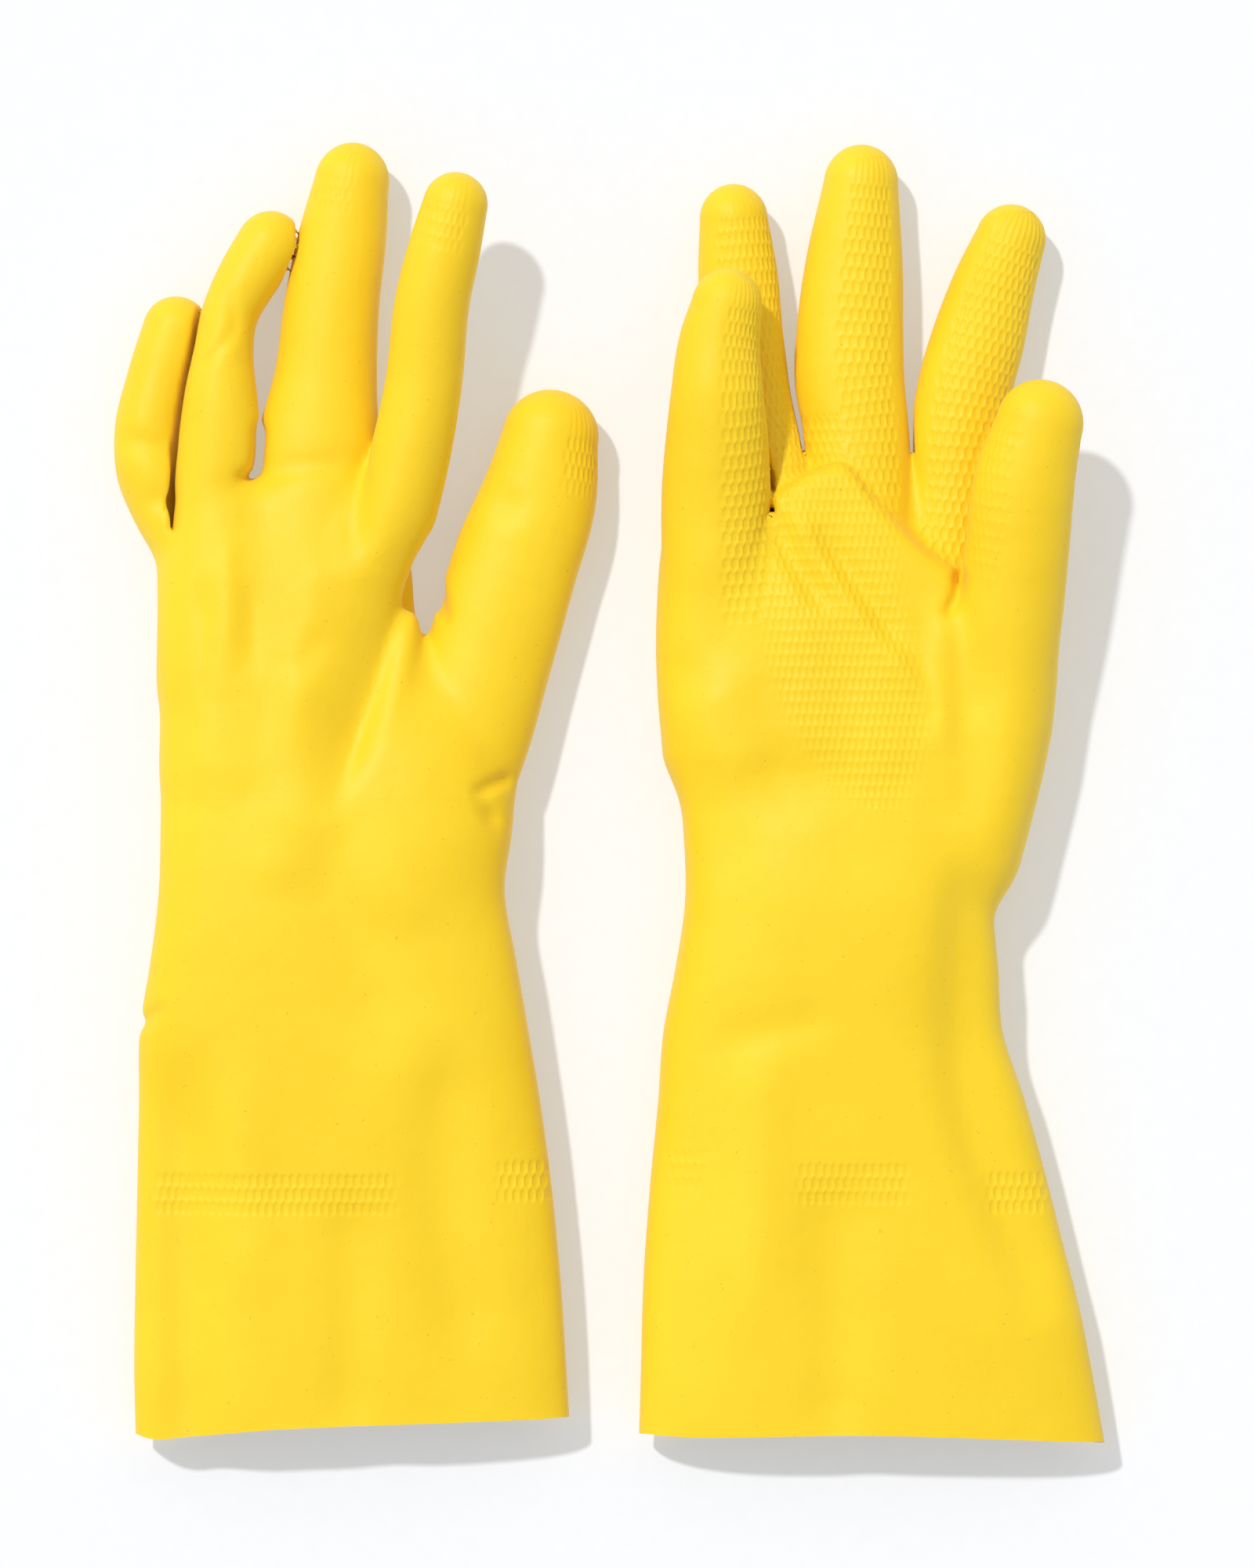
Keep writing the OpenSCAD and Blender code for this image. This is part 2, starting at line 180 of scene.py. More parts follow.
# Strokes on the upper side: depth (below zero stands proud), width on the left of its direction,
# width on its right, length of the faded ends, then its points x, y.
STROKES = {
    "left": [
        # Over the back of the hand, from the finger roots to the wrist
        (0.8, 3, 3, 8, [(-96.8, 50.6), (-96.8, 20.5)]),
        (0.8, 3, 3, 8, [(-84.2, 51), (-84.2, 28.6)]),
        (0.6, 2.5, 2.5, 12, [(-101.9, 45), (-101.9, -17)]),
        (0.7, 3.5, 3.5, 5, [(-68.6, 38), (-73, 27)]),
        (4.8, 4.5, 11, 18, [(-43.5, 60), (-51.5, 42), (-57.5, 22), (-66, -2)]),
        (1.3, 3.5, 3.5, 8, [(-57.3, 80), (-60.2, 55)]),
        (-0.8, 5, 5, 14, [(-70, 64), (-72, 36), (-75, 10)]),
        (-0.7, 3, 3, 8, [(-90.5, 62), (-90.8, 30)]),
        # Across the knuckles
        (0.8, 3.4, 3.4, 10, [(-94.9, 72.2), (-78, 76.4), (-57.3, 78.8)]),
        (2.6, 1.4, 1.4, 3, [(-83.3, 88), (-83.3, 83.3), (-85, 76.1), (-88.5, 74.4)]),
        (0.6, 1.6, 1.6, 4, [(-90.6, 120.1), (-89.3, 111.3), (-98.1, 100)]),
        (1.0, 3.0, 3.0, 5, [(-117, 84.4), (-104, 81.4)]),
        (0.8, 3.0, 3.0, 4, [(-111, 70.4), (-103, 69)]),
        # Round the thumb and at its side of the wrist
        (2.5, 1.4, 1.4, 3, [(-41, 51), (-39.5, 45.3), (-38.5, 40.2)]),
        (0.8, 4.5, 4.5, 5, [(-26, 64), (-22, 72)]),
        (1.6, 1.8, 1.8, 3, [(-32, -0.8), (-22.6, 3.9)]),
        (1.4, 3.4, 3.4, 3, [(-30, -7), (-26, -4.6)]),
        (1.2, 1.8, 1.8, 3, [(-113, -57.2), (-105.6, -51.4)]),
        # Down the cuff
        (3.4, 7, 6, 16, [(-102.5, -66), (-101, -95), (-100.6, -160)]),
        (-1.3, 7, 7, 14, [(-88, -64), (-84, -120)]),
        (1.8, 7, 7, 12, [(-61, -96), (-61, -155)]),
        (2.0, 8, 8, 14, [(-38.5, -60), (-38, -104), (-33, -136)]),
        (1.4, 9, 9, 14, [(-78, -10), (-60, -34), (-52, -62)]),
    ],
    "right": [
        # Folds that run from the base of the fingers down the palm
        (1.6, 3.2, 2.4, 8, [(39.5, 67), (42.3, 58.1), (52, 43)]),
        (-1.3, 3, 3, 8, [(43.5, 68), (54, 51.5), (66, 34.5), (76.1, 20.5)]),
        (1.8, 3.4, 3.4, 8, [(50.2, 61.5), (60.2, 47.4), (69, 33.5)]),
        (2.5, 1.5, 1.5, 3, [(84, 52.5), (83.3, 46.8), (80.8, 41.6)]),
        (-1.2, 3.4, 3.4, 8, [(80.6, 45), (79.4, 30), (80, 10)]),
        (1.2, 7, 7, 10, [(27.3, 54), (25.4, 26)]),
        (1.2, 8, 8, 8, [(42.3, 12), (43.2, -8)]),
        (1.5, 6.5, 6.5, 12, [(88, 32), (86.5, -10)]),
        (0.7, 5, 5, 5, [(14, 32), (25, 23)]),
        (0.7, 5, 5, 5, [(15, 9), (28, 4)]),
        # Down the cuff
        (2.9, 8, 6, 16, [(85.5, -14), (85.5, -73), (104, -124)]),
        (2.0, 8, 8, 12, [(54.5, -92), (54.5, -156)]),
        (0.8, 5, 5, 8, [(25, -61), (54, -52.4)]),
        (-1.4, 8, 8, 14, [(38, -60), (34, -130)]),
        (0.9, 7, 7, 12, [(30, -6), (34, -40)]),
    ],
}
STROKE_LOW, STROKE_HIGH = 6.0, 12.0   # strokes fade out between these heights

# Cuff edges as seen from above: x, y. The lower layer reaches a little further.
CUFF_EDGES = {
    "left": [(-116, -153.6), (-109, -155.3), (-100.6, -154.6), (-84, -152.9), (-52, -151.4),
             (-6, -150.0)],
    "right": [(4, -153.9), (20, -154.6), (42, -154.2), (66, -154.0), (96, -155.0), (122, -156.3)],
}


# ---------------------------------------------------------------- fields

def smooth_step(low, high, x):
    t = np.clip((x - low) / (high - low), 0, 1)
    return t * t * (3 - 2 * t)


def soft_min(a, b, k):
    """The lesser of two, rounded where they are less than k apart."""
    h = np.maximum(k - np.abs(a - b), 0) / k
    return np.minimum(a, b) - h * h * k / 4


def soft_max(a, b, k):
    return -soft_min(-a, -b, k)


def smooth_rows(rows, places, step):
    """Rows along a smooth curve through the given rows, evenly spaced by step; the first `places`
    columns are the place, and the other columns follow."""
    rows = np.asarray(rows, float)
    t = np.concatenate([[0], np.cumsum(np.linalg.norm(np.diff(rows[:, :places], axis=0), axis=1))])
    slope = np.gradient(rows, t, axis=0)
    at = np.linspace(0, t[-1], max(int(round(t[-1] / step)), 2) + 1)
    i = np.clip(np.searchsorted(t, at, side="right") - 1, 0, len(t) - 2)
    length = (t[i + 1] - t[i])[:, None]
    u = ((at - t[i])[:, None]) / length
    return (rows[i] * (2 * u**3 - 3 * u**2 + 1) + rows[i + 1] * (3 * u**2 - 2 * u**3)
            + slope[i] * length * (u**3 - 2 * u**2 + u) + slope[i + 1] * length * (u**3 - u**2))


def smooth_curve(points):
    """A function of the first column that gives the other columns on a smooth curve."""
    table = smooth_rows(points, 1, 1.0)
    order = np.argsort(table[:, 0], kind="stable")
    table = table[order]
    return lambda x: [np.interp(x, table[:, 0], column) for column in table.T[1:]]


class Tube:
    """A digit: an elliptical section swept along a smooth line, with a rounded end."""

    def __init__(self, name):
        spec = TUBES[name]
        self.rows = smooth_rows(spec["rows"], 3, LINE_STEP)
        self.bends = spec["bends"]
        self.free = spec["free"]
        self.end = spec["end"]
        centre = self.rows[:, :3]
        self.length = np.concatenate(
            [[0], np.cumsum(np.linalg.norm(np.diff(centre, axis=0), axis=1))])
        along = np.gradient(centre, axis=0)
        along /= np.linalg.norm(along, axis=1)[:, None]
        side = np.cross(along, (0, 0, 1.0))
        side /= np.linalg.norm(side, axis=1)[:, None]
        up = np.cross(side, along)
        self.table = np.hstack([centre, self.rows[:, 3:5], along, side, up])
        reach = self.rows[:, 3:5].max() + 14
        self.low = centre.min(0) - reach
        self.high = centre.max(0) + reach

    def near(self, p):
        return np.all((p > self.low) & (p < self.high), axis=1)

    def at(self, p):
        """For each point: the distance along the tube and the tube's row there."""
        centre = self.table[:, :3]
        nearest = np.argmin((centre**2).sum(1)[None] - 2 * p @ centre.T, axis=1)
        spacing = self.length[-1] / (len(centre) - 1)
        s = nearest * spacing
        for _ in range(2):
            row = self.row(s / spacing)
            s = np.clip(s + ((p - row[:, :3]) * row[:, 5:8]).sum(1), 0, self.length[-1])
        return s, self.row(s / spacing)

    def row(self, index):
        i = np.clip(index.astype(int), 0, len(self.table) - 2)
        f = (index - i)[:, None]
        return self.table[i] * (1 - f) + self.table[i + 1] * f

    def distance(self, p):
        out = np.full(len(p), 50.0)
        inside = np.flatnonzero(self.near(p))
        for part in np.array_split(inside, max(1, len(inside) // CHUNK)):
            if not len(part):
                continue
            q = p[part]
            _, row = self.at(q)
            v = q - row[:, :3]
            a = (v * row[:, 5:8]).sum(1) / self.end
            b = (v * row[:, 8:11]).sum(1) / row[:, 3]
            c = (v * row[:, 11:14]).sum(1) / row[:, 4]
            size = np.linalg.norm(v, axis=1) + 1e-6
            out[part] = size - size / np.sqrt(a * a + b * b + c * c + 1e-12)
        return out


class Stroke:
    """A soft crease, fold or dent along a smooth line on the upper side."""

    def __init__(self, depth, left, right, fade, points):
        self.depth, self.left, self.right = depth, left, right
        self.line = smooth_rows(points, 2, LINE_STEP)
        self.along = np.gradient(self.line, axis=0)
        self.along /= np.linalg.norm(self.along, axis=1)[:, None]
        self.length = LINE_STEP * (len(self.line) - 1)
        self.fade = min(fade, self.length / 2)
        reach = 2.6 * max(left, right)
        self.low = self.line.min(0) - reach
        self.high = self.line.max(0) + reach

    def offset(self, p):
        out = np.zeros(len(p))
        inside = np.flatnonzero(np.all((p[:, :2] > self.low) & (p[:, :2] < self.high), axis=1)
                                & (p[:, 2] > STROKE_LOW))
        for part in np.array_split(inside, max(1, len(inside) // CHUNK)):
            if not len(part):
                continue
            q = p[part, :2]
            i = np.argmin((self.line**2).sum(1)[None] - 2 * q @ self.line.T, axis=1)
            v = q - self.line[i]
            ahead = (v * self.along[i]).sum(1)
            aside = self.along[i, 0] * v[:, 1] - self.along[i, 1] * v[:, 0]
            s = i * self.length / (len(self.line) - 1) + ahead
            beyond = np.maximum(0, np.maximum(-s, s - self.length))
            width = np.where(aside > 0, self.left, self.right)
            shape = np.exp(-(aside**2 + beyond**2) / width**2)
            ends = smooth_step(-self.fade / 2, self.fade, s)
            ends *= smooth_step(-self.fade / 2, self.fade, self.length - s)
            out[part] = self.depth * shape * ends
        return out * smooth_step(STROKE_LOW, STROKE_HIGH, p[:, 2])


class Glove:
    def __init__(self, side):
        self.side = side
        self.sleeve = smooth_curve(SLEEVES[side])
        self.front = smooth_curve(PALM_FRONTS[side])
        self.tubes = {d: Tube(f"{side}_{d}") for d in DIGITS}
        self.strokes = [Stroke(*row) for row in STROKES[side]]
        self.cuff_edge = smooth_curve(CUFF_EDGES[side])

    def palm(self, p):
        """The distance to the flattened sleeve of the cuff and the palm, up to its front edge."""
        left, right, top = self.sleeve(p[:, 1])
        x, z = p[:, 0] - (left + right) / 2, p[:, 2] - (top + SLEEVE_SAG) / 2
        a, b = (right - left) / 2, (top - SLEEVE_SAG) / 2
        u, v = np.abs(x) / a, np.abs(z) / b
        q = (u**SLEEVE_POWER + v**SLEEVE_POWER + 1e-9)**(1 / SLEEVE_POWER)
        slope = np.hypot((u / q)**(SLEEVE_POWER - 1) / a, (v / q)**(SLEEVE_POWER - 1) / b)
        section = np.clip((q - 1) / np.maximum(slope, 1e-6), -20, 60)
        front, = self.front(p[:, 0])
        return soft_max(section, (p[:, 1] - front) * 0.85, PALM_FRONT_ROUND[self.side])

    def parts(self, p):
        """The distance to each digit and to the palm, with each pressed by its neighbours."""
        d = {digit: tube.distance(p) for digit, tube in self.tubes.items()}
        d["palm"] = self.palm(p)
        for under, over, start in PRESSES[self.side]:
            before = 40 * (1 - smooth_step(start - PRESS_FADE, start, p[:, 1]))
            d[under] = soft_max(d[under], CLEARANCE - d[over] - before, PRESS_SOFTNESS)
        return d

    def field(self, p):
        """The signed distance to the glove's outside, below zero inside it."""
        d = self.parts(p)
        out = d["palm"]
        for digit in UNION_ORDER:
            deep = np.clip((self.tubes[digit].free - p[:, 1]) / SOFTNESS_LENGTH, 0, 1)
            out = soft_min(out, d[digit], FREE_SOFTNESS + HEEL_SOFTNESS * deep)
        for stroke in self.strokes:
            out = out + stroke.offset(p)
        return soft_max(out, -p[:, 2], FLOOR_ROUND)

    def gradient(self, p, reach):
        d = self.field(p)
        steps = [self.field(p + reach * axis) for axis in np.eye(3)]
        return d, (np.stack(steps, 1) - d[:, None]) / reach

    def settle(self, p, rounds=2):
        """Moves points onto the surface."""
        for _ in range(rounds):
            d, g = self.gradient(p, 0.1)
            move = d[:, None] * g / np.maximum((g * g).sum(1), 0.25)[:, None]
            p = p - np.clip(move, -0.8, 0.8)
        return p


# ---------------------------------------------------------------- meshing

def surface_nets(values):
    """The zero level of a grid of values as quads: one point in each cell that it crosses."""
    cells = np.array(values.shape) - 1
    total = np.zeros((cells.prod(), 3))
    count = np.zeros(cells.prod())
    quads = []
    for axis in range(3):
        a = np.moveaxis(values, axis, 0)[:-1]
        b = np.moveaxis(values, axis, 0)[1:]
        crossed = np.argwhere((a < 0) != (b < 0))
        va, vb = a[tuple(crossed.T)], b[tuple(crossed.T)]
        others = [k for k in range(3) if k != axis]
        edge = np.empty_like(crossed)
        edge[:, axis], edge[:, others[0]], edge[:, others[1]] = crossed.T
        place = edge.astype(float)
        place[:, axis] += va / (va - vb)
        inner = np.all([(edge[:, k] > 0) & (edge[:, k] < cells[k]) for k in others], axis=0)
        edge, place, falling = edge[inner], place[inner], (va < 0)[inner]
        corners = []
        for du, dv in ((-1, -1), (0, -1), (0, 0), (-1, 0)):
            cell = edge.copy()
            cell[:, others[0]] += du
            cell[:, others[1]] += dv
            index = np.ravel_multi_index(cell.T, cells)
            corners.append(index)
            count += np.bincount(index, minlength=len(count))
            for k in range(3):
                total[:, k] += np.bincount(index, place[:, k], minlength=len(count))
        quad = np.stack(corners, 1)
        flip = falling if axis == 1 else ~falling
        quad[flip] = quad[flip][:, ::-1]
        quads.append(quad)
    quads = np.concatenate(quads)
    used, quads = np.unique(quads, return_inverse=True)
    return total[used] / count[used][:, None], quads.reshape(-1, 4)


def cuff_cut(glove, p):
    """The y at which the cuff ends at each point."""
    edge, = glove.cuff_edge(p[:, 0])
    return edge - LOWER_LAYER * (1 - smooth_step(4, 14, p[:, 2]))


def glove_quads(glove):
    """The glove's surface as quads, open at the cuff, where its edge is cut cleanly."""
    left = glove.side == "left"
    low = np.array([cad_low.x if left else 0.0, cad_low.y, 0.0]) / MM - 6
    high = np.array([0.0 if left else cad_high.x, cad_high.y, cad_high.z]) / MM + 6
    count = ((high - low) / CELL).astype(int)
    axes = [low[k] + CELL * np.arange(count[k]) for k in range(3)]
    values = np.empty(count)
    for k in range(0, count[1], 16):
        block = np.stack(np.meshgrid(axes[0], axes[1][k:k + 16], axes[2], indexing="ij"), -1)
        values[:, k:k + 16] = glove.field(block.reshape(-1, 3)).reshape(block.shape[:3])
    points, quads = surface_nets(values)
    points = glove.settle(points * CELL + low)
    centre = points[quads].mean(1)
    quads = quads[centre[:, 1] > cuff_cut(glove, centre)]
    used, quads = np.unique(quads, return_inverse=True)
    points, quads = points[used], quads.reshape(-1, 4)
    rim = boundary_points(quads)
    rim = rim[points[rim, 1] < cad_low.y / MM + 12]
    points[rim, 1] = cuff_cut(glove, points[rim])
    return points, quads


def quad_edges(quads):
    """The sorted end points of each quad's four edges, as one list without repeats, and each
    quad's four places in it."""
    pairs = np.stack([quads, np.roll(quads, -1, axis=1)], -1).reshape(-1, 2)
    edges, places = np.unique(np.sort(pairs, axis=1), axis=0, return_inverse=True)
    return edges, places.reshape(-1, 4)


def boundary_points(quads):
    edges, places = quad_edges(quads)
    once = np.bincount(places.ravel(), minlength=len(edges)) == 1
    return np.unique(edges[once])


def refined(points, quads, chosen):
    """Divides the chosen quads REFINE times each way. Returns all points, the small quads with the
    quad that each came from, and for each edge its extra points, or -1."""
    edges, places = quad_edges(quads)
    split = np.zeros(len(edges), bool)
    split[places[chosen].ravel()] = True
    start = np.full(len(edges), -1)
    start[split] = len(points) + (REFINE - 1) * np.arange(split.sum())
    t = np.arange(1, REFINE) / REFINE
    a, b = points[edges[split, 0]], points[edges[split, 1]]
    on_edges = (a[:, None] * (1 - t)[None, :, None] + b[:, None] * t[None, :, None]).reshape(-1, 3)
    extra = np.where(start[:, None] >= 0, start[:, None] + np.arange(REFINE - 1), -1)

    corner = quads[chosen]
    side = []
    for k in range(4):
        ends = corner[:, [k, (k + 1) % 4]]
        line = extra[places[chosen, k]]
        side.append(np.where((ends[:, 0] < ends[:, 1])[:, None], line, line[:, ::-1]))
    n = REFINE + 1
    grid = np.empty((len(corner), n, n), int)
    grid[:, 0, 0], grid[:, 0, -1], grid[:, -1, -1], grid[:, -1, 0] = corner.T
    grid[:, 0, 1:-1], grid[:, 1:-1, -1] = side[0], side[1]
    grid[:, -1, 1:-1], grid[:, 1:-1, 0] = side[2][:, ::-1], side[3][:, ::-1]
    first = len(points) + len(on_edges)
    inner = (REFINE - 1)**2
    grid[:, 1:-1, 1:-1] = (first + np.arange(len(corner) * inner)).reshape(-1, REFINE - 1, REFINE - 1)
    c = points[corner]
    u, v = np.meshgrid(t, t)
    u, v = u.ravel()[None, :, None], v.ravel()[None, :, None]
    inside = (c[:, None, 0] * (1 - u) * (1 - v) + c[:, None, 1] * u * (1 - v)
              + c[:, None, 2] * u * v + c[:, None, 3] * (1 - u) * v).reshape(-1, 3)
    small = np.stack([grid[:, :-1, :-1], grid[:, :-1, 1:], grid[:, 1:, 1:], grid[:, 1:, :-1]], -1)
    source = np.repeat(np.flatnonzero(chosen), REFINE * REFINE)
    return np.vstack([points, on_edges, inside]), small.reshape(-1, 4), source, extra, places


def point_normals(points, faces):
    """Smooth normals of a mesh of quads, weighted by area."""
    a, b, c, d = (points[faces[:, k]] for k in range(4))
    normal = np.cross(c - a, d - b)
    out = np.zeros_like(points)
    for k in range(4):
        for axis in range(3):
            out[:, axis] += np.bincount(faces[:, k], normal[:, axis], minlength=len(points))
    return out / (np.linalg.norm(out, axis=1)[:, None] + 1e-12)


# ---------------------------------------------------------------- textured grip

def hexagons(u, v, width, pitch):
    """Rows of long hexagons along v, every other row shifted by half. Returns how far a point lies
    inside its own hexagon, from 0 at its edge, and the hexagon's centre."""
    stretch = pitch / (width * math.sqrt(0.75))
    p = np.stack([u / width, v / (width * stretch)], 1)
    r = np.array([1.0, math.sqrt(3)])
    one = (np.floor(p / r) + 0.5) * r
    two = (np.floor(p / r + 0.5)) * r
    nearer = ((p - one)**2).sum(1) < ((p - two)**2).sum(1)
    centre = np.where(nearer[:, None], one, two)
    w = np.abs(p - centre)
    edge = 0.5 - np.maximum(w[:, 0], 0.5 * w[:, 0] + math.sqrt(0.75) * w[:, 1])
    return edge * width, centre * [width, width * stretch]


def hollows(u, v, mask, width, pitch, depth):
    """How deep the grip's hollows go at each point, where mask gives their strength by centre."""
    edge, centre = hexagons(u, v, width, pitch)
    return depth * mask(centre[:, 0], centre[:, 1]) * smooth_step(0.02, 0.5, edge)


GRIP_WIDTH, GRIP_PITCH, GRIP_DEPTH = 1.85, 3.3, 0.27
BAND_WIDTH, BAND_PITCH, BAND_DEPTH = 1.9, 3.35, 0.26
# Grip on digits: from angle, to angle (0 is the +X side, 90 the top), from y, to y, strength.
DIGIT_GRIPS = {
    "left_middle": [(84, 138, 138, 149, 0.45)],
    "left_index": [(62, 150, 128, 141, 0.6), (-25, 28, 68, 93, 0.8)],
    "left_thumb": [(8, 68, 72, 88, 0.8), (150, 176, 66, 78, 0.5)],
    "right_little": [(8, 84, 40, 119, 1.0)],
    "right_ring": [(14, 122, 66, 139, 1.0)],
    "right_middle": [(44, 104, 66, 148, 1.0)],
    "right_index": [(28, 128, 50, 135, 1.0)],
    "right_thumb": [(108, 152, 50, 86, 0.6), (-14, 16, 68, 92, 0.9)],
}
# Grip on the right palm: centre x, y, half width.
PALM_GRIP = [(50, 84, 17), (52, 62, 19), (53, 45, 19), (57, 28, 19), (62, 13, 16), (65, 2, 9)]
PALM_GRIP_BOX = (28, 86, -12, 90)       # from x, to x, from y, to y
PALM_LEAN, PALM_LEAN_FROM = 0.10, 40    # sideways for each millimetre of y, and the y without it
# Grip bands on the cuffs: from x, to x, middle y, strength.
CUFF_BANDS = {
    "left": [(-109, -50, -96.2, 1.0), (-27, -13, -93.2, 1.0)],
    "right": [(12.6, 24.4, -90.4, 0.5), (44.5, 72.6, -93.6, 0.9), (90, 106, -96.0, 1.0)],
}
BAND_HALF_HEIGHT = 6.4


def digit_distances(glove, p):
    """The distance of each point to each digit, where a digit that gives way to another one has
    no claim on the other one's surface."""
    near = np.stack([tube.distance(p) for tube in glove.tubes.values()], 1)
    own = near.copy()
    for giver, taker, y_from in PRESSES[glove.side]:
        if giver != "palm":
            taken = (near[:, DIGITS.index(taker)] < CLEARANCE / 2) & (p[:, 1] > y_from)
            own[taken, DIGITS.index(giver)] = FAR
    return own


def digit_grip(tube, p, low, high, y_low, y_high, strength):
    """The grip's hollows on a stretch of a digit, in its own angles and lengths."""
    s, row = tube.at(p)
    v = p - row[:, :3]
    across = (v * row[:, 8:11]).sum(1) / row[:, 3]
    above = (v * row[:, 11:14]).sum(1) / row[:, 4]
    radius = (tube.rows[:, 3].mean() + tube.rows[:, 4].mean()) / 2

    def mask(u, w):
        angle = np.degrees(u / radius)
        y = np.interp(w, tube.length, tube.rows[:, 1])
        return (strength * smooth_step(low - 5, low + 4, angle)
                * (1 - smooth_step(high - 4, high + 5, angle))
                * smooth_step(y_low - 2, y_low + 5, y)
                * (1 - smooth_step(y_high - 5, y_high + 2, y)))
    turn = np.radians(np.degrees(np.arctan2(above, across))) * radius
    return hollows(turn, s, mask, GRIP_WIDTH, GRIP_PITCH, GRIP_DEPTH)


def palm_grip(p):
    """The finer hollows of the right palm, whose columns lean a little."""
    line = smooth_rows(PALM_GRIP, 2, LINE_STEP)

    def mask(u, w):
        x = u - PALM_LEAN * (w - PALM_LEAN_FROM)
        d = np.hypot(x[:, None] - line[:, 0], w[:, None] - line[:, 1]) - line[:, 2]
        return 1 - smooth_step(-6, 1, d.min(1))
    lean = PALM_LEAN * (p[:, 1] - PALM_LEAN_FROM)
    return hollows(p[:, 0] + lean, p[:, 1], mask,
                   GRIP_WIDTH * 0.9, GRIP_PITCH * 0.86, GRIP_DEPTH * 0.8)


def band_grip(p, x_low, x_high, y_mid, strength):
    """The hollows of one band across a cuff."""
    def mask(u, w):
        return (strength * smooth_step(x_low - 1, x_low + 3, u)
                * (1 - smooth_step(x_high - 3, x_high + 1, u)) * (np.abs(w) < BAND_HALF_HEIGHT))
    return hollows(p[:, 0], p[:, 1] - y_mid, mask, BAND_WIDTH, BAND_PITCH, BAND_DEPTH)


def grip_depth(glove, p, normal):
    """How far the grip's hollows press into the surface at each point."""
    depth = np.zeros(len(p))
    near = digit_distances(glove, p)
    closest = near.argmin(1)
    for k, digit in enumerate(DIGITS):
        for zone in DIGIT_GRIPS.get(f"{glove.side}_{digit}", []):
            y_low, y_high = zone[2:4]
            on = np.flatnonzero((closest == k) & (near[:, k] < 2.5)
                                & (p[:, 1] > y_low - 4) & (p[:, 1] < y_high + 4))
            if len(on):
                found = digit_grip(glove.tubes[digit], p[on], *zone)
                depth[on] = np.maximum(depth[on], found)
    up = normal[:, 2] > 0.25
    if glove.side == "right":
        x_low, x_high, y_low, y_high = PALM_GRIP_BOX
        on_thumb = (closest == DIGITS.index("thumb")) & (near.min(1) < 1)
        palm = np.flatnonzero(up & (near.min(1) > -9) & (p[:, 1] > y_low) & (p[:, 1] < y_high)
                              & (p[:, 0] > x_low) & (p[:, 0] < x_high) & (p[:, 2] > 12) & ~on_thumb)
        found = palm_grip(p[palm])
        depth[palm] = np.maximum(depth[palm], np.where(depth[palm] > 0.01, 0, found))
    for band in CUFF_BANDS[glove.side]:
        x_low, x_high, y_mid, _ = band
        on = np.flatnonzero(up & (p[:, 0] > x_low - 4) & (p[:, 0] < x_high + 4)
                            & (np.abs(p[:, 1] - y_mid) < BAND_HALF_HEIGHT + 4))
        depth[on] = band_grip(p[on], *band)
    return depth


# ---------------------------------------------------------------- pieces

HAND_START = -2.0           # y where the cuff's piece ends, past the wrist's bend
WRIST_BEND = (-46.0, -5.0)  # y where the wrist starts and stops bending
WRIST_LEVEL = 15.0
PIECES = ["cuff", "hand"] + [f"{digit}_{part}" for digit in DIGITS for part in ("base", "tip")]


def bend_plane(tube, y):
    """The point of a tube's middle line at y."""
    return np.array([np.interp(y, tube.rows[:, 1], tube.rows[:, k]) for k in range(3)])


def piece_of(glove, p):
    """Which of PIECES each point belongs to."""
    out = np.where(p[:, 1] < HAND_START, 0, 1)
    near = digit_distances(glove, p)
    closest = near.argmin(1)
    for k, digit in enumerate(DIGITS):
        tube = glove.tubes[digit]
        start, stop, second, _ = (bend_plane(tube, y) for y in tube.bends)
        mine = (closest == k) & (near[:, k] < 4)
        direction = stop - start
        past_root = (p - start) @ direction > -0.8 * np.linalg.norm(direction)
        seam = (stop + second) / 2
        past_seam = (p - seam) @ (second - stop) > 0
        out[mine & past_root] = PIECES.index(f"{digit}_base")
        out[mine & past_root & past_seam] = PIECES.index(f"{digit}_tip")
    return out


def edge_line(extra_points, a, b):
    """The extra points of the edge from point a to point b, in that order."""
    if extra_points[0] < 0:
        return []
    return (extra_points if a < b else extra_points[::-1]).tolist()


def make_object(name, points, faces, normals, material):
    mesh = bpy.data.meshes.new(name)
    mesh.from_pydata((points * MM).tolist(), [], faces)
    mesh.polygons.foreach_set("use_smooth", np.ones(len(mesh.polygons), bool))
    mesh.materials.append(material)
    mesh.update()
    mesh.normals_split_custom_set_from_vertices(normals.tolist())
    piece = bpy.data.objects.new(name, mesh)
    bpy.context.scene.collection.objects.link(piece)
    return piece


